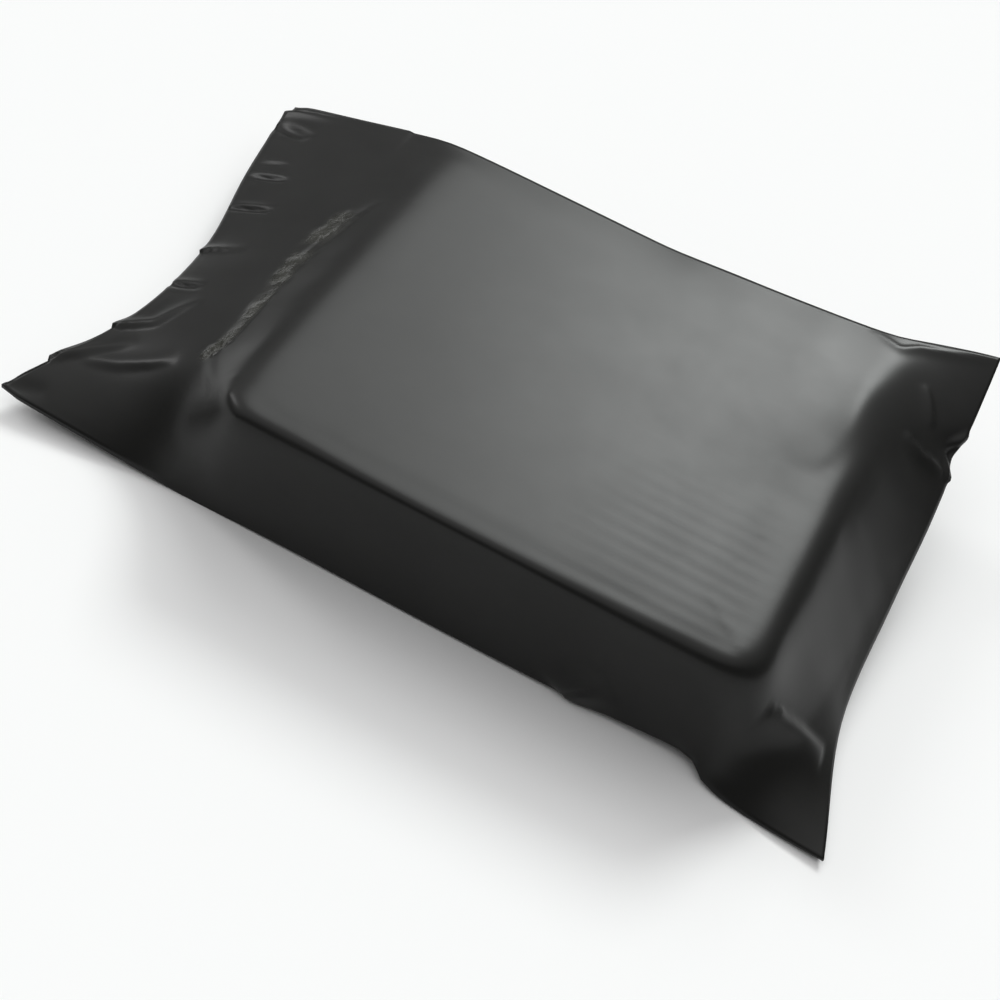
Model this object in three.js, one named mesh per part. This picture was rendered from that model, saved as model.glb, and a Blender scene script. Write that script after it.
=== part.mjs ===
// A filled and sealed poly mailer: a flat film bag drawn round a carton.
// The closing flap is folded over and glued at the -X end, and the bag's bottom fold is at +X.
// The side welds run along the near (-Y) bottom edge and the far (+Y) top edge of the carton,
// so each flat end stands aslant, and the four corners of the bag stick out as ears.
// The pack can't be seen into, so it is one solid: the space that the film encloses.
// Millimetres, +Z up. The origin is on the resting surface, under the middle of the pack.

import * as THREE from "three";
import { mergeVertices } from "three/addons/utils/BufferGeometryUtils.js";

// The bag, laid flat
const BAG_LENGTH = 266.7; // closing fold to bottom fold, 10.5 in
const BAG_WIDTH = 190.5; // side weld to side weld, 7.5 in
const FLAP_DEPTH = 52; // closing fold to the glued edge of the flap
const FLAP_STEP = 0.5; // height of that edge, with the glue strip and the air under it
const FLAP_RAMP = 1; // and how far it takes to drop to the film below
const WELD_THICKNESS = 0.8; // both plies at a weld or a fold, with the air between them

// The carton inside, which gives the pack its flat top and its edges
const CARTON_LENGTH = 157;
const CARTON_WIDTH = 149;
const CARTON_HEIGHT = 40;
const CARTON_EDGE_RADIUS = 5;
const CARTON_OFFSET = 12; // from the middle of the bag towards the bottom fold
const BAG_SKEW = 8; // the far weld is this much nearer the flap end than the near weld

// How the welds lie along the carton towards the bottom end
const FAR_WELD_FIN = 1.5; // the far weld stands off the carton's edge by this all along,
const FAR_WELD_RISE = 5.5; // and at the carton's end it stands this much higher,
const FAR_WELD_LEAN = 4; // and this much further out
const NEAR_WELD_RISE = 6.5; // the near weld is pulled this far up the carton's side at its end,
const NEAR_WELD_RUN = 35; // over this length,
const NEAR_EAR_BULGE = 6; // and its ear then starts this far out, on the resting surface

// The closing fold is held at five points from its near corner to its far corner.
// A reach is out from the carton, as a share of the spare film at that end.
const FLAP_NEAR_REACH = 0.97;
const FLAP_NEAR_QUARTER_REACH = 0.73;
const FLAP_MIDDLE_REACH = 0.745;
const FLAP_FAR_QUARTER_REACH = 0.89;
const FLAP_FAR_REACH = 1;
const FLAP_NEAR_HEIGHT = 6;
const FLAP_NEAR_QUARTER_HEIGHT = 13;
const FLAP_MIDDLE_HEIGHT = 12.5;
const FLAP_FAR_QUARTER_HEIGHT = 14;
const FLAP_FAR_HEIGHT = 16;
const FLAP_OVERHANG = 1.5; // of the near corner, past the carton's near side
const FLAP_GATHER = 0.86; // corner to corner, as a share of the bag's width

// The bottom fold is held the same way: its near ear lies down and its far ear stands up
const BOTTOM_NEAR_REACH = 0.88;
const BOTTOM_NEAR_QUARTER_REACH = 0.68;
const BOTTOM_MIDDLE_REACH = 0.75;
const BOTTOM_FAR_QUARTER_REACH = 0.74;
const BOTTOM_FAR_REACH = 0.7;
const BOTTOM_NEAR_HEIGHT = 2;
const BOTTOM_NEAR_QUARTER_HEIGHT = 7;
const BOTTOM_MIDDLE_HEIGHT = 14;
const BOTTOM_FAR_QUARTER_HEIGHT = 26;
const BOTTOM_FAR_HEIGHT = 48;
const BOTTOM_OVERHANG = 8.5;
const BOTTOM_GATHER = 0.937;

// Folds that the stretched film draws from the carton to the ears
const CORNER_FOLD_SAG = 3; // of the fold from the carton's near corner to the near ear of the flap
const NECK_SHARE = 0.17; // where the fold to the near bottom ear meets the bottom fold, as a share of it
const NECK_DROP = 2; // and how far that fold sags
const FAR_FOLD_START = 0.5; // where the fold to the far bottom ear leaves the carton's end edge, as a share
const FAR_FOLD_BOW = 1.5; // and how far it bows up on its way
const FAR_FOLD_RADIUS = 4; // of that fold where it meets the far weld
const EAR_FOLD_RADIUS = 0.5; // of the other two where they run out

// The film's grid and how it settles
const CELL = 5; // about this far between grid lines
const SETTLING_STEPS = 160;
const PASSES_PER_STEP = 10;
const SAG_PER_STEP = 0.004; // pull of gravity, in mm a step
const CLING_PER_STEP = 0.02; // pull towards the carton, in mm a step
const CLING_REACH = 14; // how far off the carton that pull is felt
const KEPT_SPEED = 0.85; // share of a node's movement that is kept to the next step
const STRETCH_SHARE = 0.9; // share of an over-long edge that is taken back in a pass
const CRUMPLE_SHARE = 0.01; // and of an over-short one, because film buckles easily
const BEND_SHARE = 0.05; // share of a kink that is smoothed in a pass
const RIM_BEND_SHARE = 0.3; // and on the welds and the folds, which are stiffer
const HOLD_SHARE = 0.15; // share of the way that the rim goes back to its held line in a pass
const GRIP = 0.3; // share of sliding that friction on the carton takes away
const PLY_GAP = 0.5; // least height between the plies where they lie together
const TIGHTENING_PASSES = 400; // in which the settled film is drawn tight
const TIGHTENING_SHARE = 0.6; // share of the way to its neighbours' middle that a node goes in a pass

const FILM_COLOUR = 0x343636; // dark grey

// Grid lines from 0 to the last mark, with a line on each mark
function gridLines(...marks) {
  const lines = [0];
  let from = 0;
  for (const mark of marks) {
    const cells = Math.max(1, Math.round((mark - from) / CELL));
    for (let k = 1; k <= cells; k++) lines.push(from + ((mark - from) * k) / cells);
    from = mark;
  }
  return lines;
}

const lengthLines = gridLines(FLAP_DEPTH, FLAP_DEPTH + FLAP_RAMP, BAG_LENGTH);
const widthLines = gridLines(BAG_WIDTH);
const lastColumn = lengthLines.length - 1;
const lastRow = widthLines.length - 1;
const nodesPerPly = lengthLines.length * widthLines.length;
const TOP = 0;
const UNDER = 1;

function onRim(i, j) {
  return i === 0 || j === 0 || i === lastColumn || j === lastRow;
}

// The number of a grid node: the two plies share the nodes of the rim
function node(ply, i, j) {
  const own = i * widthLines.length + j;
  return ply === UNDER && !onRim(i, j) ? nodesPerPly + own : own;
}

function mix(a, b, t) {
  return a.map((x, k) => x + (b[k] - x) * t);
}

// One end of the bag: the film to spare past the carton there, and the curve of its fold
function bagEnd(side, reaches, heights, overhang, gather) {
  const spare = (BAG_LENGTH - CARTON_LENGTH) / 2 - side * CARTON_OFFSET;
  const face = CARTON_OFFSET + (side * CARTON_LENGTH) / 2;
  const last = reaches.length - 1;
  const near = -CARTON_WIDTH / 2 - overhang;
  const across = Math.sqrt((gather * BAG_WIDTH) ** 2 - (heights[last] - heights[0]) ** 2);
  const points = reaches.map(
    (reach, k) => new THREE.Vector3(face + side * reach * spare, near + (across * k) / last, heights[k]),
  );
  return { side, spare, face, fold: new THREE.CatmullRomCurve3(points) };
}

const flapEnd = bagEnd(
  -1,
  [
    FLAP_NEAR_REACH,
    FLAP_NEAR_QUARTER_REACH,
    FLAP_MIDDLE_REACH,
    FLAP_FAR_QUARTER_REACH,
    FLAP_FAR_REACH,
  ],
  [
    FLAP_NEAR_HEIGHT,
    FLAP_NEAR_QUARTER_HEIGHT,
    FLAP_MIDDLE_HEIGHT,
    FLAP_FAR_QUARTER_HEIGHT,
    FLAP_FAR_HEIGHT,
  ],
  FLAP_OVERHANG,
  FLAP_GATHER,
);
const bottomEnd = bagEnd(
  1,
  [
    BOTTOM_NEAR_REACH,
    BOTTOM_NEAR_QUARTER_REACH,
    BOTTOM_MIDDLE_REACH,
    BOTTOM_FAR_QUARTER_REACH,
    BOTTOM_FAR_REACH,
  ],
  [
    BOTTOM_NEAR_HEIGHT,
    BOTTOM_NEAR_QUARTER_HEIGHT,
    BOTTOM_MIDDLE_HEIGHT,
    BOTTOM_FAR_QUARTER_HEIGHT,
    BOTTOM_FAR_HEIGHT,
  ],
  BOTTOM_OVERHANG,
  BOTTOM_GATHER,
);

// The two welds along the carton, as [y, z] at a place x: by its near bottom edge and its far top edge
function welds(x) {
  const alongHalf = Math.max(0, (x - CARTON_OFFSET) / (CARTON_LENGTH / 2));
  const alongRun = Math.max(0, 1 - (bottomEnd.face - x) / NEAR_WELD_RUN);
  const near = [-CARTON_WIDTH / 2, NEAR_WELD_RISE * alongRun];
  const out = FAR_WELD_FIN + FAR_WELD_LEAN * alongHalf;
  const far = [CARTON_WIDTH / 2 + out, CARTON_HEIGHT + FAR_WELD_RISE * alongHalf];
  return { near, far };
}

// The point at a share of the way along a line through several points
function alongLine(points, share) {
  const lengths = points.slice(1).map((p, k) => Math.hypot(p[0] - points[k][0], p[1] - points[k][1]));
  let left = share * lengths.reduce((sum, length) => sum + length, 0);
  let k = 0;
  while (k < lengths.length - 1 && left > lengths[k]) {
    left -= lengths[k];
    k += 1;
  }
  return mix(points[k], points[k + 1], lengths[k] ? left / lengths[k] : 0);
}

// A ply's way round the carton from the near weld to the far weld: over the top or under
function cartonPath(ply, s, { near, far }) {
  const height = ply === TOP ? CARTON_HEIGHT : 0;
  const edges = [-CARTON_WIDTH / 2, CARTON_WIDTH / 2].map((y) => [y, height]);
  return alongLine([near, ...edges, far], s);
}

// The film's first place: closed round the carton, and straight from there to each end fold.
// u and v are measured on the flat bag, along its length and across it.
function wrapped(ply, u, v) {
  const s = v / BAG_WIDTH;
  const skew = BAG_SKEW * (s - 1 / 2);
  const x = u - BAG_LENGTH / 2 - skew;
  for (const end of [flapEnd, bottomEnd]) {
    const past = end.side * (x - end.face);
    if (past <= 0) continue;
    const atEnd = welds(end.face);
    if (end === bottomEnd) atEnd.near = [-CARTON_WIDTH / 2 - NEAR_EAR_BULGE, 0];
    const root = [end.face, ...cartonPath(ply, s, atEnd)];
    return mix(root, end.fold.getPoint(s).toArray(), past / (end.spare - end.side * skew));
  }
  return [x, ...cartonPath(ply, s, welds(x))];
}

// Pairs of nodes that the film keeps at their distance on the flat bag, and triples that it keeps straight
function filmLinks() {
  const pairs = [];
  const triples = [];
  for (const ply of [TOP, UNDER]) {
    for (let i = 0; i <= lastColumn; i++) {
      for (let j = 0; j <= lastRow; j++) {
        const here = node(ply, i, j);
        const right = i < lastColumn;
        const up = j < lastRow;
        const du = right ? lengthLines[i + 1] - lengthLines[i] : 0;
        const dv = up ? widthLines[j + 1] - widthLines[j] : 0;
        if (right) pairs.push(here, node(ply, i + 1, j), du);
        if (up) pairs.push(here, node(ply, i, j + 1), dv);
        if (right && up) {
          pairs.push(here, node(ply, i + 1, j + 1), Math.hypot(du, dv));
          pairs.push(node(ply, i + 1, j), node(ply, i, j + 1), Math.hypot(du, dv));
        }
        const bend = onRim(i, j) ? RIM_BEND_SHARE : BEND_SHARE;
        if (i > 0 && right) triples.push(node(ply, i - 1, j), here, node(ply, i + 1, j), bend);
        if (j > 0 && up) triples.push(node(ply, i, j - 1), here, node(ply, i, j + 1), bend);
      }
    }
  }
  return { pairs: Float64Array.from(pairs), triples: Float64Array.from(triples) };
}

// Takes each edge back towards its length, quickly when stretched and slowly when crumpled
function keepLengths(place, pairs) {
  for (let n = 0; n < pairs.length; n += 3) {
    const a = 3 * pairs[n];
    const b = 3 * pairs[n + 1];
    const length = pairs[n + 2];
    const dx = place[b] - place[a];
    const dy = place[b + 1] - place[a + 1];
    const dz = place[b + 2] - place[a + 2];
    const now = Math.sqrt(dx * dx + dy * dy + dz * dz) || length;
    const step = ((now > length ? STRETCH_SHARE : CRUMPLE_SHARE) * (now - length)) / now / 2;
    place[a] += dx * step;
    place[a + 1] += dy * step;
    place[a + 2] += dz * step;
    place[b] -= dx * step;
    place[b + 1] -= dy * step;
    place[b + 2] -= dz * step;
  }
}

function smoothKinks(place, triples) {
  for (let n = 0; n < triples.length; n += 4) {
    const a = 3 * triples[n];
    const b = 3 * triples[n + 1];
    const c = 3 * triples[n + 2];
    for (let k = 0; k < 3; k++) {
      const kink = triples[n + 3] * ((place[a + k] + place[c + k]) / 2 - place[b + k]);
      place[b + k] += kink / 2;
      place[a + k] -= kink / 4;
      place[c + k] -= kink / 4;
    }
  }
}

// The carton is a box with rounded edges: a core that is smaller by the edge radius, and that radius round it
const cartonMiddle = [CARTON_OFFSET, 0, CARTON_HEIGHT / 2];
const cartonCore = [CARTON_LENGTH, CARTON_WIDTH, CARTON_HEIGHT].map((side) => side / 2 - CARTON_EDGE_RADIUS);
const away = new Float64Array(3); // from the core to the node in hand, or the way out of the core

// How far a node is off the carton's skin: below 0 when it is inside. Leaves the way out in `away`.
function cartonDistance(place, n) {
  let nearest = 0;
  let most = -Infinity;
  let squares = 0;
  for (let k = 0; k < 3; k++) {
    const from = place[n + k] - cartonMiddle[k];
    const past = Math.abs(from) - cartonCore[k];
    if (past > most) {
      most = past;
      nearest = k;
    }
    away[k] = past > 0 ? Math.sign(from) * past : 0;
    squares += away[k] * away[k];
  }
  const distance = Math.sqrt(squares);
  if (distance > 0) {
    for (let k = 0; k < 3; k++) away[k] /= distance;
    return distance - CARTON_EDGE_RADIUS;
  }
  away[nearest] = Math.sign(place[n + nearest] - cartonMiddle[nearest]) || 1;
  return most - CARTON_EDGE_RADIUS;
}

// Pushes the film out of the carton, and slows its sliding there
function keepOutOfCarton(place, before) {
  for (let n = 0; n < place.length; n += 3) {
    const distance = cartonDistance(place, n);
    if (distance >= 0) continue;
    let outward = 0;
    for (let k = 0; k < 3; k++) outward += (place[n + k] - before[n + k]) * away[k];
    for (let k = 0; k < 3; k++) {
      const slide = place[n + k] - before[n + k] - outward * away[k];
      place[n + k] -= distance * away[k] + GRIP * slide;
    }
  }
}

// Keeps the top ply above the underside, and both above the resting surface
function keepPliesApart(place) {
  for (let i = 0; i <= lastColumn; i++) {
    for (let j = 0; j <= lastRow; j++) {
      const top = 3 * node(TOP, i, j) + 2;
      const under = 3 * node(UNDER, i, j) + 2;
      const lack = top === under ? 0 : PLY_GAP - (place[top] - place[under]);
      if (lack > 0) {
        place[top] += lack / 2;
        place[under] -= lack / 2;
      }
      place[under] = Math.max(place[under], 0);
      place[top] = Math.max(place[top], onRim(i, j) ? PLY_GAP / 2 : PLY_GAP);
    }
  }
}

// The welds and the folds stay near the line that they start on
function holdRim(place, start) {
  for (let i = 0; i <= lastColumn; i++) {
    for (let j = 0; j <= lastRow; j++) {
      if (!onRim(i, j)) continue;
      const n = 3 * node(TOP, i, j);
      for (let k = 0; k < 3; k++) place[n + k] += HOLD_SHARE * (start[n + k] - place[n + k]);
    }
  }
}

// The stretched folds lie over cones, from a rounded edge of the carton to a point on the rim
const nearSide = -CARTON_WIDTH / 2 + CARTON_EDGE_RADIUS;
const topEdge = CARTON_HEIGHT - CARTON_EDGE_RADIUS;
const farWeldEnd = welds(bottomEnd.face).far;
const stretchedFolds = [
  {
    from: [flapEnd.face + CARTON_EDGE_RADIUS, nearSide, topEdge],
    to: flapEnd.fold.getPoint(0).toArray(),
    endRadius: EAR_FOLD_RADIUS,
    sag: CORNER_FOLD_SAG,
  },
  {
    from: [bottomEnd.face - CARTON_EDGE_RADIUS, nearSide, topEdge],
    to: bottomEnd.fold.getPoint(NECK_SHARE).toArray(),
    endRadius: EAR_FOLD_RADIUS,
    sag: NECK_DROP,
  },
  {
    from: [bottomEnd.face - CARTON_EDGE_RADIUS, (FAR_FOLD_START - 1 / 2) * CARTON_WIDTH, topEdge],
    to: [bottomEnd.face + FAR_FOLD_RADIUS / 2, ...farWeldEnd.map((at) => at - FAR_FOLD_RADIUS)],
    endRadius: FAR_FOLD_RADIUS,
    sag: -FAR_FOLD_BOW,
  },
];

// Keeps the top ply over those cones
function keepOverFolds(place) {
  for (const { from, to, endRadius, sag } of stretchedFolds) {
    const run = to.map((x, k) => x - from[k]);
    const square = run[0] ** 2 + run[1] ** 2 + run[2] ** 2;
    for (let n = 0; n < 3 * nodesPerPly; n += 3) {
      const off = [place[n] - from[0], place[n + 1] - from[1], place[n + 2] - from[2]];
      const along = (off[0] * run[0] + off[1] * run[1] + off[2] * run[2]) / square;
      if (along <= 0 || along >= 1) continue;
      for (let k = 0; k < 3; k++) off[k] -= along * run[k];
      off[2] = Math.abs(off[2] + sag * 4 * along * (1 - along));
      const radius = CARTON_EDGE_RADIUS + along * (endRadius - CARTON_EDGE_RADIUS);
      const distance = Math.hypot(...off) || radius;
      if (distance >= radius) continue;
      const lift = -sag * 4 * along * (1 - along);
      for (let k = 0; k < 3; k++) {
        place[n + k] = from[k] + along * run[k] + (off[k] * radius) / distance + (k === 2 ? lift : 0);
      }
    }
  }
}

// Draws the film straight between the carton and its rim: each node goes towards the middle of its
// neighbours, of which a nearer one counts for more
function drawTight(place) {
  for (let pass = 0; pass < TIGHTENING_PASSES; pass++) {
    const before = place.slice();
    for (const ply of [TOP, UNDER]) {
      for (let i = 1; i < lastColumn; i++) {
        for (let j = 1; j < lastRow; j++) {
          const here = 3 * node(ply, i, j);
          const behind = 3 * node(ply, i - 1, j);
          const front = 3 * node(ply, i + 1, j);
          const below = 3 * node(ply, i, j - 1);
          const above = 3 * node(ply, i, j + 1);
          const back = 1 / (lengthLines[i] - lengthLines[i - 1]);
          const ahead = 1 / (lengthLines[i + 1] - lengthLines[i]);
          const down = 1 / (widthLines[j] - widthLines[j - 1]);
          const up = 1 / (widthLines[j + 1] - widthLines[j]);
          for (let k = 0; k < 3; k++) {
            const along = back * before[behind + k] + ahead * before[front + k];
            const across = down * before[below + k] + up * before[above + k];
            const middle = (along + across) / (back + ahead + down + up);
            place[here + k] += TIGHTENING_SHARE * (middle - place[here + k]);
          }
        }
      }
    }
    keepOutOfCarton(place, before);
    keepOverFolds(place);
    holdRim(place, before);
    keepPliesApart(place);
  }
}

// The film's settled place: unstretched, drawn in to the carton, with its ears standing off
function settledFilm() {
  const place = new Float64Array(2 * nodesPerPly * 3);
  for (const ply of [TOP, UNDER])
    for (let i = 0; i <= lastColumn; i++)
      for (let j = 0; j <= lastRow; j++)
        place.set(wrapped(ply, lengthLines[i], widthLines[j]), 3 * node(ply, i, j));
  const { pairs, triples } = filmLinks();
  const start = place.slice();
  const before = place.slice();
  for (let step = 0; step < SETTLING_STEPS; step++) {
    for (let n = 0; n < place.length; n += 3) {
      const distance = cartonDistance(place, n);
      const beside = Math.abs(place[n] - CARTON_OFFSET) < CARTON_LENGTH / 2;
      const cling = beside && distance > 0 && distance < CLING_REACH ? CLING_PER_STEP : 0;
      for (let k = 0; k < 3; k++) {
        const moved = KEPT_SPEED * (place[n + k] - before[n + k]);
        before[n + k] = place[n + k];
        place[n + k] += moved - cling * away[k] - (k === 2 ? SAG_PER_STEP : 0);
      }
    }
    for (let pass = 0; pass < PASSES_PER_STEP; pass++) {
      keepLengths(place, pairs);
      smoothKinks(place, triples);
      holdRim(place, start);
      keepOutOfCarton(place, before);
      keepPliesApart(place);
    }
  }
  drawTight(place);
  return place;
}

// The flat bag is a thin box with the film's grid on both plies. Each of its corners goes to the
// settled place of its grid node, the plies half a weld apart there, and the flap a step higher.
function bagGeometry() {
  const flat = new THREE.BoxGeometry(BAG_LENGTH, BAG_WIDTH, WELD_THICKNESS, lastColumn, lastRow, 1);
  flat.deleteAttribute("normal");
  flat.deleteAttribute("uv");
  const bag = mergeVertices(flat);
  const place = settledFilm();
  const corners = bag.getAttribute("position");
  for (let n = 0; n < corners.count; n++) {
    const i = Math.round((corners.getX(n) / BAG_LENGTH + 1 / 2) * lastColumn);
    const j = Math.round((corners.getY(n) / BAG_WIDTH + 1 / 2) * lastRow);
    const ply = corners.getZ(n) > 0 ? TOP : UNDER;
    const step = ply === TOP && lengthLines[i] <= FLAP_DEPTH ? FLAP_STEP : 0;
    const at = 3 * node(ply, i, j);
    const height = place[at + 2] + corners.getZ(n) + step;
    corners.setXYZ(n, place[at], place[at + 1], Math.max(0, height));
  }
  bag.clearGroups();
  bag.computeBoundingBox();
  const middle = bag.boundingBox.getCenter(new THREE.Vector3());
  bag.translate(-middle.x, -middle.y, -bag.boundingBox.min.z);
  bag.computeVertexNormals();
  return bag;
}

const film = new THREE.MeshStandardMaterial({ color: FILM_COLOUR, roughness: 0.45, metalness: 0 });
const mailerBag = new THREE.Mesh(bagGeometry(), film);
mailerBag.name = "mailer_bag";

const pack = new THREE.Group();
pack.add(mailerBag);

export default pack;
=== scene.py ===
# %% [markdown]
# # A filled poly mailer
#
# The object is a mailing bag of dark grey polyethylene film. A flat carton was pushed in, and the
# closing flap was peeled, folded over and glued down. The film is drawn tight over the carton, so its
# top is a flat panel with soft edges. Past the carton the two plies fall together into thin ends with
# loose ears at the corners. This lesson takes the measured solid of the pack, turns it into smooth
# film, presses the folds and puckers into it one by one, and gives the film its satin skin.

# %% Load the measured pack
import math

import bpy
import numpy as np
from mathutils import Matrix, Vector, noise


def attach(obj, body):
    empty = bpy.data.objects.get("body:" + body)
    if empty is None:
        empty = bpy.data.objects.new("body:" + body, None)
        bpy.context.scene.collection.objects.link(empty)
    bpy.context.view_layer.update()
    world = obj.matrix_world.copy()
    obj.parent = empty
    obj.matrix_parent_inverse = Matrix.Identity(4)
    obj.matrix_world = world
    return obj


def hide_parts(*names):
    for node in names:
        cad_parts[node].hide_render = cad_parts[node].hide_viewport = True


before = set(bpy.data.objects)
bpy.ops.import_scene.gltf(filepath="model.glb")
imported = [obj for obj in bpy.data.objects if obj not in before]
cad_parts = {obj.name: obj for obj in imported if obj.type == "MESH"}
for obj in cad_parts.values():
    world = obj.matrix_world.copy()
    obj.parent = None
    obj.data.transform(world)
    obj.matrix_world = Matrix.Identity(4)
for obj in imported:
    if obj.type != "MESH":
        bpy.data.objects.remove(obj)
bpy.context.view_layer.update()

MM = 0.001

# %% [markdown]
# ## The film
#
# A bag is one closed skin: two plies that meet at the welds and the folds. It could be drawn from a
# plane, but the measured solid already follows the film round the carton, so a copy of it is the
# better start. The copy comes as loose triangles. Its doubles are merged, the triangles are joined
# back to the squares of film that they were cut from, and the thin edge where the plies meet is
# creased, so that a subdivision surface keeps the outline sharp while it smooths everything else.

# %% Copy the solid and make clean squares of film
bpy.ops.object.select_all(action="DESELECT")
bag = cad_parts["mailer_bag"].copy()
bag.data = bag.data.copy()
bag.name = "film_bag"
bag.data.name = "film_bag"
bpy.context.scene.collection.objects.link(bag)
bag.parent = None
bag.data.materials.clear()
bpy.context.view_layer.objects.active = bag
bag.select_set(True)
bpy.ops.object.mode_set(mode="EDIT")
bpy.ops.mesh.select_mode(type="EDGE")
bpy.ops.mesh.select_all(action="SELECT")
bpy.ops.mesh.remove_doubles(threshold=0.01 * MM)
bpy.ops.mesh.tris_convert_to_quads(face_threshold=math.pi, shape_threshold=math.pi)
bpy.ops.mesh.select_all(action="DESELECT")
bpy.ops.object.mode_set(mode="OBJECT")
bpy.ops.object.shade_smooth()
print("squares of film:", len(bag.data.polygons), "corners:", len(bag.data.vertices))

# %% Find the thin edge where the plies meet
RIM_WIDTH = 1.5 * MM
FLAP_LINE = (-95 * MM, -60 * MM)


def is_rim(face):
    near_flap = FLAP_LINE[0] < face.center.x < FLAP_LINE[1]
    for i in face.loop_indices:
        ends = [bag.data.vertices[v].co for v in bag.data.edges[bag.data.loops[i].edge_index].vertices]
        run = ends[1] - ends[0]
        if run.length < RIM_WIDTH and not (near_flap and abs(run.x) > 0.6 * run.length):
            return True
    return False


rim_faces = [face for face in bag.data.polygons if is_rim(face)]
rim_points = {i for face in rim_faces for i in face.vertices}
bag.vertex_groups.new(name="rim").add(sorted(rim_points), 1, "REPLACE")
crease = bag.data.attributes.new("crease_edge", "FLOAT", "EDGE")
for edge in bag.data.edges:
    if set(edge.vertices) <= rim_points:
        crease.data[edge.index].value = 1
print("faces of the thin edge:", len(rim_faces), "corners:", len(rim_points))

# %% Smooth the film once
def smooth_once():
    smooth = bag.modifiers.new("smooth", "SUBSURF")
    smooth.levels = 1
    smooth.render_levels = 1
    bpy.ops.object.modifier_apply(modifier=smooth.name)
    print("squares of film:", len(bag.data.polygons))


smooth_once()

# %% Measure the film
def measure(what):
    flat = np.empty(3 * len(bag.data.vertices))
    bag.data.vertices.foreach_get(what, flat)
    return flat.reshape(-1, 3)


def fade(distance, start, end):
    t = np.clip((distance - start) / (end - start), 0, 1)
    return t * t * (3 - 2 * t)


def share_of_rim():
    share = np.zeros(len(bag.data.vertices))
    rim = bag.vertex_groups["rim"].index
    for corner in bag.data.vertices:
        for member in corner.groups:
            if member.group == rim:
                share[corner.index] = member.weight
    return share


film_at = measure("co") / MM
rim_share = share_of_rim()
print("film lies between", film_at.min(axis=0).round(1), "and", film_at.max(axis=0).round(1))

# %% [markdown]
# ## Film drawn tight over the carton
#
# Stretched film touches the carton right up to its top edges. A subdivision surface rounds those
# edges off too much, so the flat panel comes out too small. A shrinkwrap could pull the film back
# onto a box, but it would also pull in the slack ends. So only the shoulder is filled: film above the
# carton is raised to the height that a soft board edge has there. On the right the film climbs
# towards the far ear, so the board climbs with it.
#
# Then the film beside the edge is evened out. Each corner of the mesh moves half of the way to the
# middle of its neighbours, again and again, as tension does. This is done while the mesh is still
# half smooth, because each round reaches further there. A few rounds after the second smoothing take
# the hardness off the edge.

# %% Fill the shoulders of the carton
PANEL_MIDDLE = np.array((14.2, -5.6))
PANEL_HALF = np.array((82.0, 78.2))
PANEL_SKEW = 0.04
PANEL_TOP = 40.3
PANEL_RISE = ((-80, -40, -10, 14, 38, 62), (0, 0.1, 0.6, 1.5, 2.5, 2.8))
RISE_STARTS, RISE_FULL = 45, 75
PANEL_CORNER = 8.0
SHOULDER = 5.0
WALL_LEFT_ALONE = 24


def past_edge(places):
    past = np.abs(places[:, :2] - PANEL_MIDDLE) - (PANEL_HALF - PANEL_CORNER)
    past[:, 0] -= PANEL_SKEW * (places[:, 1] + PANEL_HALF[1]) * (places[:, 0] > PANEL_MIDDLE[0])
    past_corner = np.linalg.norm(np.maximum(past, 0), axis=1)
    return past_corner + np.minimum(past.max(axis=1), 0) - PANEL_CORNER


outline = past_edge(film_at)
rise = SHOULDER - np.clip(-outline, 0, SHOULDER)
climb = np.interp(film_at[:, 1], *PANEL_RISE) * fade(film_at[:, 0], RISE_STARTS, RISE_FULL)
board = PANEL_TOP + climb - SHOULDER + np.sqrt(SHOULDER**2 - rise**2)
sunken = (outline < 0) & (film_at[:, 2] > WALL_LEFT_ALONE) & (film_at[:, 2] < board)
raised = (board - film_at[:, 2])[sunken]
film_at[sunken, 2] = board[sunken]
print("corners raised:", int(sunken.sum()), "by up to", raised.max().round(2), "mm")

# %% Even out the film beside the shoulders
DRAWN_ROUNDS = 400
EDGE_ROUNDS = 4
NEAR_EDGE_ROUNDS = 12
PART_WAY = 0.5
RIGHT_PART = 60
REACH_RIGHT, REACH_ELSEWHERE = 26.0, 13.0
FULL_SHARE = 0.4
NEAR_CORNER = np.array((-69.0, -74.0, 28.0))
# Where each fade starts and ends, in mm.
UPPER_WALL, JUST_OUTSIDE, ROUND_CORNER = (14, 28), (-1.5, 0.5), (8, 18)
ALONG_EDGE, ALONG_NEAR_EDGE, NEAR_SIDE = (6, 12), (5, 10), (64, 74)


def even_out(places, loose, rounds):
    ties = np.empty(2 * len(bag.data.edges), dtype=np.int32)
    bag.data.edges.foreach_get("vertices", ties)
    ends = ties.reshape(-1, 2).T
    tied = np.bincount(ties, minlength=len(places))
    for _ in range(rounds):
        for axis in range(3):
            line = places[:, axis]
            total = np.bincount(ends[0], line[ends[1]], len(line))
            total += np.bincount(ends[1], line[ends[0]], len(line))
            places[:, axis] += PART_WAY * loose * (total / tied - line)


def move_film(places):
    bag.data.vertices.foreach_set("co", (places * MM).ravel())
    bag.data.update()


upper = fade(film_at[:, 2], *UPPER_WALL) * (1 - rim_share)
outside = fade(outline, *JUST_OUTSIDE)
reach = np.where(film_at[:, 0] > RIGHT_PART, REACH_RIGHT, REACH_ELSEWHERE)
near_corner = 1 - fade(np.linalg.norm(film_at - NEAR_CORNER, axis=1), *ROUND_CORNER)
slope = outside * np.maximum(1 - fade(outline, FULL_SHARE * reach, reach), near_corner)
even_out(film_at, upper * slope, DRAWN_ROUNDS)
even_out(film_at, upper * (1 - fade(np.abs(outline), *ALONG_EDGE)), EDGE_ROUNDS)
near_edge = (1 - fade(np.abs(outline), *ALONG_NEAR_EDGE)) * fade(-film_at[:, 1], *NEAR_SIDE)
even_out(film_at, upper * near_edge, NEAR_EDGE_ROUNDS)
move_film(film_at)
print("corners evened out:", int((upper * slope > 0.1).sum()))

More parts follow.
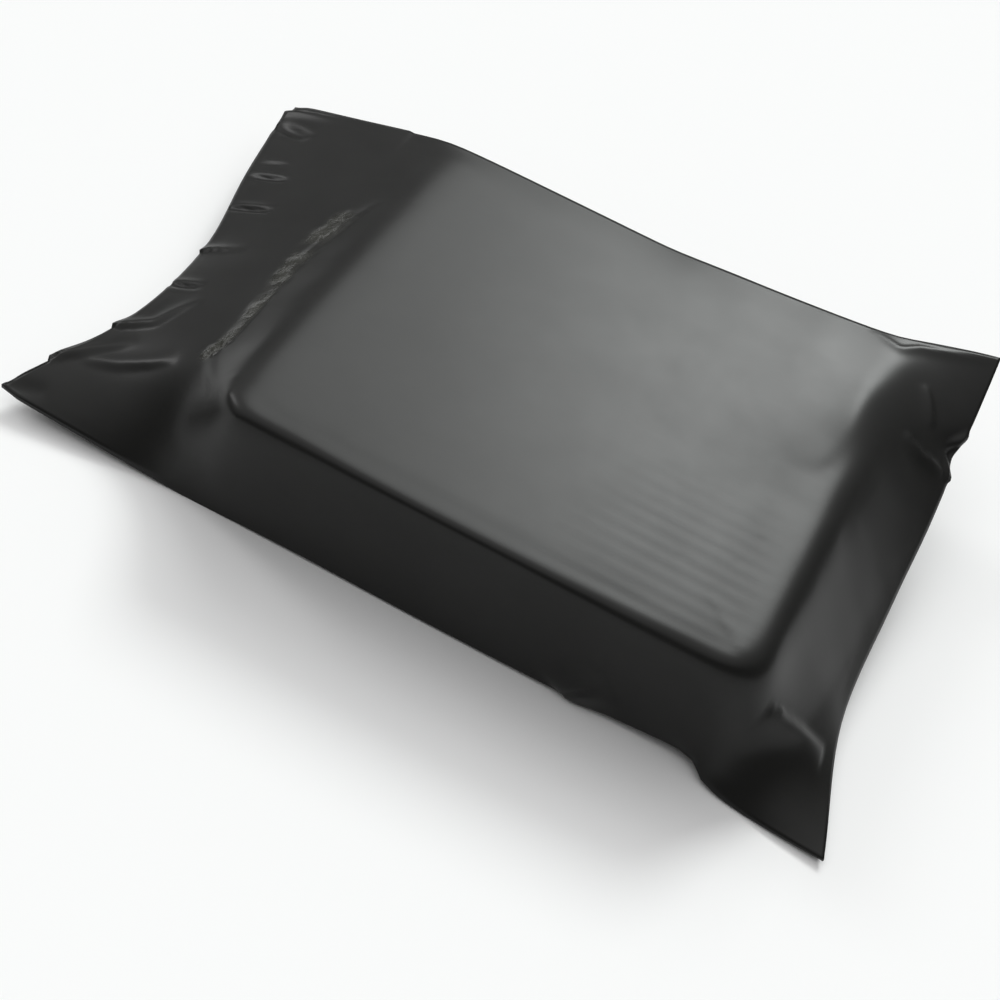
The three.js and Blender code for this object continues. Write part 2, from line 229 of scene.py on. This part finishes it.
# %% Smooth the film again and round the edges of the panel
ROUNDING = 26
UPPER_FILM, ROUNDED_EDGE = (18, 32), (5, 14)

smooth_once()
film_at = measure("co") / MM
rim_share = share_of_rim()
upper = fade(film_at[:, 2], *UPPER_FILM) * (1 - rim_share)
even_out(film_at, upper * (1 - fade(np.abs(past_edge(film_at)), *ROUNDED_EDGE)), ROUNDING)
move_film(film_at)
film_out = measure("normal")
print("film lies between", film_at.min(axis=0).round(1), "and", film_at.max(axis=0).round(1))

# %% [markdown]
# ## Folds, puckers and creases
#
# Film that is gathered and pressed keeps sharp little folds. Most run in from the closing fold, where
# the bag was bent over and squeezed, a few radiate from the corners of the carton, and one pinch sits
# on the bottom fold. They could be sculpted with a brush. Here each one is a line of points on the
# film, in millimetres, and the film beside that line is moved along its own normal, because a line
# can be placed exactly and moved again. There are three strokes: a lip is a step, high on one side of
# the line and level on the other, and turns a hard light or dark edge to the lamp; a ridge rises
# evenly on both sides; a dent is a round hollow. Heights and widths are in millimetres too. A fold
# that comes in from the edge of the bag is highest at its first point, and any other runs out at
# both ends.

# %% Choose which film a stroke moves
FACES_UP, FACES_NEAR = (0.02, 0.25), (0.2, 0.5)
RIM_MOVES = 0.25

on_top = np.maximum(fade(film_out[:, 2], *FACES_UP), RIM_MOVES * rim_share)
on_near_wall = fade(-film_out[:, 1], *FACES_NEAR)
moved = np.zeros(len(film_at))
print("corners on top:", int((on_top > 0.5).sum()))
print("corners on the near wall:", int((on_near_wall > 0.5).sum()))


# %% The three strokes
def beside(line):
    line = np.array(line, float)
    runs = np.diff(line, axis=0)
    lengths = np.linalg.norm(runs, axis=1)
    before = np.concatenate([[0], np.cumsum(lengths)])
    gap = np.full(len(film_at), np.inf)
    along = np.zeros(len(film_at))
    side = np.ones(len(film_at))
    for start, run, length, done in zip(line, runs, lengths, before):
        away = film_at - start
        t = np.clip(away @ run / length**2, 0, 1)
        reach = np.linalg.norm(away - t[:, None] * run, axis=1)
        closer = reach < gap
        gap[closer] = reach[closer]
        along[closer] = ((done + t * length) / before[-1])[closer]
        left = run[0] * away[:, 1] - run[1] * away[:, 0]
        side[closer] = np.where(left > 0, 1, -1)[closer]
    return gap, along, side


def taper(along, from_edge):
    if from_edge:
        return np.cos(np.pi / 2 * along) ** 0.8
    return np.sin(np.pi * np.clip(along, 0, 1)) ** 0.6


def lip(line, height, width, high_side=1, from_edge=False, where=on_top, soft=0.7):
    gap, along, side = beside(line)
    across = gap * side * high_side
    step = fade(across, -soft, soft) * np.exp(-((np.maximum(across, 0) / width) ** 2))
    moved[:] += height * step * taper(along, from_edge) * np.exp(-((gap / (2 * width)) ** 2)) * where


def ridge(line, height, width, from_edge=False, where=on_top):
    gap, along, _ = beside(line)
    wave = (1 - (gap / width) ** 2) * np.exp(-((gap / width) ** 2))
    moved[:] += height * wave * taper(along, from_edge) * where


def dent(middle, depth, radius, where=on_top):
    gap = np.linalg.norm(film_at - np.array(middle, float), axis=1)
    moved[:] -= depth * np.exp(-((gap / radius) ** 2)) * where


# %% Puckers along the closing fold
FAR_HIGH, NEAR_HIGH = 1, -1

for slit, depth in (
    ([(-121.5, 47.4, 16.5), (-111.3, 47.9, 20.9)], 0.4),
    ([(-121, 40.2, 16), (-106.7, 39.6, 22)], 0.9),
    ([(-118, 22.9, 14.5), (-102.4, 22.1, 22.2)], 1.0),
    ([(-113, -19.2, 13.6), (-101.8, -19.8, 19.1)], 0.9),
):
    ridge(slit, height=-depth, width=1.7)
    lip(slit, height=0.6 * depth, width=3.0, high_side=FAR_HIGH)
lip([(-117, -1.5, 13), (-112, 0.2, 15.5), (-99, 0.2, 21.9)],
    height=0.9, width=3.0, high_side=FAR_HIGH, from_edge=True, soft=1.2)
lip([(-114.5, -45, 12), (-104.3, -40.2, 16.9), (-101, -33, 18.8), (-96.9, -25.7, 21.3)],
    height=1.3, width=4.0, high_side=FAR_HIGH, from_edge=True, soft=1.5)
lip([(-122, -63.5, 9), (-113.3, -56.1, 12.4), (-103.9, -48.9, 16)],
    height=1.5, width=4.5, high_side=FAR_HIGH, from_edge=True, soft=1.8)
lip([(-116, -61, 10.5), (-104.4, -58.9, 13.7), (-88.9, -53.6, 21.2)],
    height=0.9, width=4.5, high_side=FAR_HIGH, soft=1.8)
print("puckers, in mm: from", moved.min().round(2), "to", moved.max().round(2))

# %% Hollows in the two left ears and the doubled layer of the far one
ridge([(-128, -78, 7.3), (-116.9, -73.5, 7.7)], height=-0.7, width=3.5)
ridge([(-127.8, 69.9, 16.6), (-112.6, 63.8, 22)], height=-1.2, width=3.5)
lip([(-130, 79.5, 16.8), (-118, 78.8, 21), (-106.1, 77.6, 25.8)],
    height=1.3, width=4.0, high_side=NEAR_HIGH, from_edge=True, soft=1.2)
print("with the left ears, in mm: from", moved.min().round(2), "to", moved.max().round(2))

# %% Creases of the right end
lip([(105.2, 63.4, 43), (108.9, 58.5, 40.5), (112.9, 52.9, 37)],
    height=0.9, width=3.0, high_side=NEAR_HIGH)
lip([(104.4, 43.1, 38.8), (111.2, 43, 34.9), (116.5, 44.5, 32.2), (122, 46, 29.5)],
    height=1.1, width=3.6, high_side=NEAR_HIGH)
ridge([(124.5, 60, 35.3), (121.1, 54.6, 33.3), (120.2, 51.3, 32.4)],
      height=1.1, width=1.8, from_edge=True)
ridge([(124.2, 45.5, 28), (122, 48.5, 30), (120.2, 51.3, 32.4)],
      height=0.9, width=1.8, from_edge=True)
dent((122.6, 52.5, 32), depth=0.9, radius=2.2)
lip([(99, -68.5, 26.5), (102.5, -65.7, 22.4), (110.5, -60.9, 15.2), (119.5, -57.8, 8.5)],
    height=2.2, width=7.0, high_side=NEAR_HIGH, soft=2.6)
lip([(83.3, 76, 44.3), (92.8, 71.8, 45.4), (98.1, 76, 45.9), (114.1, 82.6, 47.3), (121, 85, 48)],
    height=0.7, width=3.0, high_side=NEAR_HIGH)
print("with the right end, in mm: from", moved.min().round(2), "to", moved.max().round(2))

# %% The turned facet on the near weld and faint marks on the top panel
lip([(60, -77.6, 13.5), (53, -77.6, 6.5), (50, -77.6, 1)],
    height=2.0, width=7.0, high_side=NEAR_HIGH, where=on_near_wall, soft=1.2)
lip([(71.9, -56.5, 40.4), (84.3, -68.6, 40.4), (90.2, -71.1, 36.8)],
    height=0.12, width=3.0, high_side=FAR_HIGH)
for nick in ((75.6, -41.8), (62.5, -48.6), (79.3, -29.7)):
    dent((*nick, PANEL_TOP), depth=0.05, radius=0.9)
print("all folds, in mm: from", moved.min().round(2), "to", moved.max().round(2))

# %% [markdown]
# ## The glued flap and the board underneath
#
# Where the flap is stuck down, the glue holds the film in a narrow crinkled band that glints. On the
# top panel the carton's board shows through: its flutes are fine lines 5 mm apart, strongest at the
# near right corner, and the whole panel swells very slightly along its right edge. The crinkles and
# the swell are moved film. The flutes are too shallow for the mesh, so only the place where they show
# is marked, and the material draws them. Each mark is a number on every corner of the film, stored as
# an attribute. The loose film round the panel gets shallow waves.

# %% Mark the glue band
GLUE_LINE = [
    (-77.5, 22, 33), (-79, 13, 32), (-80, 5, 31.5), (-80, -4, 31), (-79.5, -16, 31),
    (-79, -29, 30.5), (-79, -39, 30), (-80, -45.5, 28.8), (-81.5, -50, 27),
]
GLUE_REACH = 4.2
PATCH_SIZE = 8
LUMP_SIZE, FINE_LUMP_SIZE = 4.5, 2.2
LUMP_HEIGHT = 0.7
NARROWEST = 0.55
GLUE_WIDENS = (-35, 8)

gap = beside(GLUE_LINE)[0]
wide = GLUE_REACH * (NARROWEST + (1 - NARROWEST) * fade(film_at[:, 1], *GLUE_WIDENS))
patches = np.array([0.7 + 1.0 * noise.noise(Vector(place) / PATCH_SIZE) for place in film_at])
glue = np.clip(np.exp(-((gap / wide) ** 4)) * on_top * patches, 0, 1)
lumps = np.array([
    noise.noise(Vector(place) / LUMP_SIZE) + 0.6 * noise.noise(Vector(place) / FINE_LUMP_SIZE)
    if mark > 0.02 else 0.0
    for place, mark in zip(film_at, glue)
])
moved += LUMP_HEIGHT * lumps * glue
dent((-79.6, -46.4, 28.7), depth=0.9, radius=1.5)
lip([(-71, 33, 36), (-74.1, 21.4, 34.4), (-77.5, 5.7, 32.9), (-78.6, -4.1, 32), (-76.6, -16.6, 32.5)],
    height=0.45, width=2.5, high_side=NEAR_HIGH)
ridge([(-80.5, -50.5, 27), (-76, -57, 29), (-69.5, -66, 32.2)], height=0.35, width=2.2)
print("corners in the glue band:", int((glue > 0.3).sum()))

# %% Mark the flutes and swell the panel
RIGHT_EDGE = 92.0
SWELL_HEIGHT, SWELL_LENGTH, SWELL_REACH = 0.07, 23, 42
SLACK_HEIGHT = 0.3
SLACK_WAVES = (24, 15, 20)
FLUTES_START, FLUTES_END, FLUTES_NEAR = (22, 58), (76, 90), (8, 45)

on_panel = fade(film_at[:, 2], PANEL_TOP - 2.3, PANEL_TOP - 0.8) * fade(film_out[:, 2], 0.9, 0.98)
flutes = on_panel * fade(film_at[:, 0], *FLUTES_START) * (1 - fade(film_at[:, 0], *FLUTES_END))
flutes *= fade(-film_at[:, 1], *FLUTES_NEAR)
inwards = RIGHT_EDGE - film_at[:, 0]
swell = SWELL_HEIGHT * np.cos(2 * np.pi * inwards / SWELL_LENGTH)
swell *= np.exp(-((inwards / SWELL_REACH) ** 2))
moved += swell * on_panel
slack = on_top * (1 - fade(film_at[:, 2], PANEL_TOP - 4, PANEL_TOP - 1)) * (1 - rim_share)
waves = np.array([
    noise.noise(Vector(place / SLACK_WAVES)) if mark > 0.02 else 0.0
    for place, mark in zip(film_at, slack)
])
moved += SLACK_HEIGHT * waves * slack
print("corners over the flutes:", int((flutes > 0.3).sum()))

# %% Move the film and keep the marks
PINCH = np.array((123.5, 52, 32.5))
PINCH_SHAPE = np.array((0.6, 1, 0.5))
PINCH_DEPTH, PINCH_REACH = 1.8, 5
FAR_TIP = np.array((-130.3, 83.5, 16.5))
TIP_TURN = np.array((2.6, -1.6, 0.6))
TIP_REACH = 6
LOWEST = 0.05

film_new = film_at + moved[:, None] * film_out
film_new[:, 2] = np.maximum(film_new[:, 2], np.minimum(film_at[:, 2], LOWEST))
from_pinch = np.linalg.norm((film_at - PINCH) * PINCH_SHAPE, axis=1)
film_new[:, 0] -= PINCH_DEPTH * np.exp(-((from_pinch / PINCH_REACH) ** 2))
from_tip = np.linalg.norm(film_at - FAR_TIP, axis=1)
film_new += np.exp(-((from_tip / TIP_REACH) ** 2))[:, None] * TIP_TURN
move_film(film_new)
for name, marks in (("glue", glue), ("flutes", flutes)):
    kept = bag.data.attributes.new(name, "FLOAT", "POINT")
    kept.data.foreach_set("value", marks)
print("all moves, in mm: from", moved.min().round(2), "to", moved.max().round(2))

# %% [markdown]
# ## The satin skin
#
# Blown polyethylene film is coloured through with carbon black, drawn up as a bubble and wound flat.
# That gives a dark grey that is a little cloudy, a satin skin that shows a broad sheen of the lamp
# but no mirror image, and faint lines along the way that it was drawn. The sheen could be painted,
# but then it would not move with the light, so roughness and a fine relief make it. Only the glue
# band also gets a painted highlight: a paler tint for its glints. All heights are in metres, so the
# relief is as deep as it is on the film.

# %% Node helper and colour helper
def colour(code):
    parts = [int(code[i : i + 2], 16) / 255 for i in (1, 3, 5)]
    linear = [c / 12.92 if c <= 0.04045 else ((c + 0.055) / 1.055) ** 2.4 for c in parts]
    return (*linear, 1)


def add(tree, kind, settings=None, **links):
    made = tree.nodes.new(kind)
    sockets = {socket.name.replace(" ", "_"): socket for socket in reversed(made.inputs)}
    sockets.update({socket.identifier.replace(" ", "_"): socket for socket in made.inputs})
    for name, value in (settings or {}).items():
        if name in sockets:
            sockets[name].default_value = value
        else:
            setattr(made, name, value)
    for name, source in links.items():
        tree.links.new(source, sockets[name])
    return made


# %% Colour of the film
CLOUD_SIZE = 28 * MM
# Share of the paler tint painted over the glue band as a highlight for its glints.
PAINTED_GLINT_SHARE = 0.7
COLOUR_RESULT = 2

# Carbon black through and through: the eye sees a near black that is slightly cloudy.
film = bpy.data.materials.new("blown_polyethylene_film")
film.use_nodes = True
tree = film.node_tree
skin = tree.nodes["Principled BSDF"]
place = add(tree, "ShaderNodeTexCoord").outputs["Object"]
clouds = add(tree, "ShaderNodeTexNoise", {"Scale": 1 / CLOUD_SIZE, "Detail": 4, "Roughness": 0.6},
             Vector=place)
tint = add(tree, "ShaderNodeValToRGB", Fac=clouds.outputs["Fac"])
tint.color_ramp.elements[0].position = 0.3
tint.color_ramp.elements[0].color = colour("#191918")
tint.color_ramp.elements[1].position = 0.7
tint.color_ramp.elements[1].color = colour("#1f1f1e")
# Painted highlight: a paler tint painted over the glue band stands in for the glints of its crinkles.
glue_mark = add(tree, "ShaderNodeAttribute", {"attribute_name": "glue"})
painted_glint_mask = add(tree, "ShaderNodeMath", {"operation": "MULTIPLY", "Value_001": PAINTED_GLINT_SHARE},
            Value=glue_mark.outputs["Fac"])
# The paler colour here is a painted highlight, not the colour of the glue.
painted_glint_tint = add(tree, "ShaderNodeMix", {"data_type": "RGBA", "B_Color": colour("#3a3a35")},
            Factor_Float=painted_glint_mask.outputs["Value"], A_Color=tint.outputs["Color"])
tree.links.new(painted_glint_tint.outputs[COLOUR_RESULT], skin.inputs["Base Color"])
print("film cloud size, in mm:", CLOUD_SIZE / MM)

# %% Sheen of the film
HAZE_SIZE = 16 * MM
SMOOTHEST, ROUGHEST = 0.31, 0.34
GLUE_SMOOTHER = -0.15

# A satin skin: the lamp spreads into a broad sheen, and the stuck band glints more sharply.
haze = add(tree, "ShaderNodeTexNoise", {"Scale": 1 / HAZE_SIZE, "Detail": 5, "Roughness": 0.65},
           Vector=place)
satin = add(tree, "ShaderNodeMapRange",
            {"From_Min": 0.3, "From_Max": 0.7, "To_Min": SMOOTHEST, "To_Max": ROUGHEST},
            Value=haze.outputs["Fac"])
gloss = add(tree, "ShaderNodeMath", {"operation": "MULTIPLY_ADD", "Value_001": GLUE_SMOOTHER},
            Value=glue_mark.outputs["Fac"], Value_002=satin.outputs["Result"])
tree.links.new(gloss.outputs["Value"], skin.inputs["Roughness"])
skin.inputs["IOR"].default_value = 1.5
skin.inputs["Specular IOR Level"].default_value = 0.2
print("roughness of the film:", SMOOTHEST, "to", ROUGHEST, "and less in the glue band")

# %% Relief of the film
FLUTE_PITCH = 5 * MM
FLUTE_DEPTH = 0.016 * MM
LINE_PITCH = 1.6 * MM
LINE_DEPTH = 0.006 * MM
CRINKLE_SIZE = 2.2 * MM
CRINKLE_DEPTH = 0.5 * MM
GRAIN_SIZE = 0.7 * MM
GRAIN_DEPTH = 0.004 * MM
WAVE_PERIOD = math.pi / 10

flute_mark = add(tree, "ShaderNodeAttribute", {"attribute_name": "flutes"})
fluting = add(tree, "ShaderNodeTexWave",
              {"bands_direction": "Y", "Scale": WAVE_PERIOD / FLUTE_PITCH, "Distortion": 2.5,
               "Detail": 2, "Detail_Scale": 0.15}, Vector=place)
fluting_seen = add(tree, "ShaderNodeMath", {"operation": "MULTIPLY"}, Value=fluting.outputs["Fac"],
                   Value_001=flute_mark.outputs["Fac"])
drawn = add(tree, "ShaderNodeMapping", {"Scale": (0.03, 1, 1)}, Vector=place)
lines = add(tree, "ShaderNodeTexNoise", {"Scale": 1 / LINE_PITCH, "Detail": 2},
            Vector=drawn.outputs["Vector"])
crinkles = add(tree, "ShaderNodeTexNoise",
               {"Scale": 1 / CRINKLE_SIZE, "Detail": 3, "Roughness": 0.6, "Distortion": 0.8},
               Vector=place)
crinkles_seen = add(tree, "ShaderNodeMath", {"operation": "MULTIPLY"}, Value=crinkles.outputs["Fac"],
                    Value_001=glue_mark.outputs["Fac"])
grain = add(tree, "ShaderNodeTexNoise", {"Scale": 1 / GRAIN_SIZE, "Detail": 2}, Vector=place)
height = add(tree, "ShaderNodeMath", {"operation": "MULTIPLY", "Value_001": GRAIN_DEPTH},
             Value=grain.outputs["Fac"])
layers = ((fluting_seen, FLUTE_DEPTH), (lines, LINE_DEPTH), (crinkles_seen, CRINKLE_DEPTH))
for layer, depth in layers:
    height = add(tree, "ShaderNodeMath", {"operation": "MULTIPLY_ADD", "Value_001": depth},
                 Value=layer.outputs[0], Value_002=height.outputs["Value"])
relief = add(tree, "ShaderNodeBump", {"Strength": 1, "Distance": 1}, Height=height.outputs["Value"])
tree.links.new(relief.outputs["Normal"], skin.inputs["Normal"])
bag.data.materials.append(film)
print("nodes in the film's material:", len(tree.nodes))

# %% [markdown]
# ## Floor, light and camera
#
# The pack lies on white paper. Two wide soft lamps behind it lay a sheen over the top panel, and a
# weaker one at the left picks out the folds. Area lamps could do this, but a sun meets all of the
# film at one angle, so the sheen depends on the film's shape alone. The room glows from above and
# slightly from behind, so the near wall stays dark.

# %% Floor
FLOOR_SIDE = 12

bpy.ops.object.select_all(action="DESELECT")
bpy.ops.mesh.primitive_plane_add(size=FLOOR_SIDE)
floor = bpy.context.object
floor.name = "floor"
# Uncoated paper: a bright floor with a soft shadow and no sheen.
paper = bpy.data.materials.new("white_paper")
paper.use_nodes = True
sheet = paper.node_tree.nodes["Principled BSDF"]
sheet.inputs["Base Color"].default_value = colour("#f6f6f6")
sheet.inputs["Roughness"].default_value = 0.9
sheet.inputs["Specular IOR Level"].default_value = 0.1
floor.data.materials.append(paper)
print("floor, in metres:", FLOOR_SIDE, "by", FLOOR_SIDE)

# %% Light
BRIGHT_SIDE = (-0.15, 0.2, 0.97)
DIM, BRIGHT = 0.14, 1.15
LAMP_TINT = (0.97, 1, 0.985)

world = bpy.data.worlds.new("studio")
bpy.context.scene.world = world
world.use_nodes = True
room = world.node_tree
facing = add(room, "ShaderNodeTexCoord")
towards_bright = add(room, "ShaderNodeVectorMath",
                     {"operation": "DOT_PRODUCT", "Vector_001": BRIGHT_SIDE},
                     Vector=facing.outputs["Generated"])
glow = add(room, "ShaderNodeMapRange",
           {"From_Min": 0.4, "From_Max": 1, "To_Min": DIM, "To_Max": BRIGHT},
           Value=towards_bright.outputs["Value"])
room.links.new(glow.outputs["Result"], room.nodes["Background"].inputs["Strength"])
room.nodes["Background"].inputs["Color"].default_value = (1, 1, 1, 1)


def lamp(name, azimuth, height, strength, spread, tint=(1, 1, 1)):
    a, h = math.radians(azimuth), math.radians(height)
    towards = Vector((math.sin(a) * math.cos(h), math.cos(a) * math.cos(h), math.sin(h)))
    bpy.ops.object.light_add(type="SUN", location=towards)
    made = bpy.context.object
    made.name = name
    made.data.energy = strength
    made.data.angle = math.radians(spread)
    made.data.color = tint
    made.rotation_mode = "QUATERNION"
    made.rotation_quaternion = towards.to_track_quat("Z", "Y")
    print(name, "stands towards", [round(c, 2) for c in towards])


lamp("window_light", azimuth=1, height=39, strength=1.2, spread=18, tint=LAMP_TINT)
lamp("wide_light", azimuth=-18, height=44, strength=0.6, spread=28, tint=LAMP_TINT)
lamp("side_light", azimuth=-70, height=33, strength=0.4, spread=14)

# %% Camera
CAMERA_AZIMUTH = math.radians(9.9)
CAMERA_HEIGHT = math.radians(46.42)
CAMERA_ROLL = math.radians(20.16)
CAMERA_DISTANCE = 448.4 * MM
CAMERA_TARGET = Vector((6.5, -23.09, 0)) * MM
CAMERA_LENS, CAMERA_SENSOR = 54, 36

back = Vector((
    math.sin(CAMERA_AZIMUTH) * math.cos(CAMERA_HEIGHT),
    -math.cos(CAMERA_AZIMUTH) * math.cos(CAMERA_HEIGHT),
    math.sin(CAMERA_HEIGHT),
))
level = Vector((math.cos(CAMERA_AZIMUTH), math.sin(CAMERA_AZIMUTH), 0))
upright = back.cross(level)
right = math.cos(CAMERA_ROLL) * level + math.sin(CAMERA_ROLL) * upright
up = math.cos(CAMERA_ROLL) * upright - math.sin(CAMERA_ROLL) * level
bpy.ops.object.camera_add()
camera = bpy.context.object
camera.data.lens = CAMERA_LENS
camera.data.sensor_width = CAMERA_SENSOR
camera.data.clip_start = 0.01
turn = Matrix((right, up, back)).transposed().to_4x4()
camera.matrix_world = Matrix.Translation(CAMERA_TARGET + back * CAMERA_DISTANCE) @ turn
bpy.context.scene.camera = camera
bpy.context.scene.view_settings.view_transform = "Standard"
print("camera stands at, in mm:", [round(c / MM) for c in camera.matrix_world.translation])

# %% Hand over
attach(bag, "root")
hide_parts("mailer_bag")
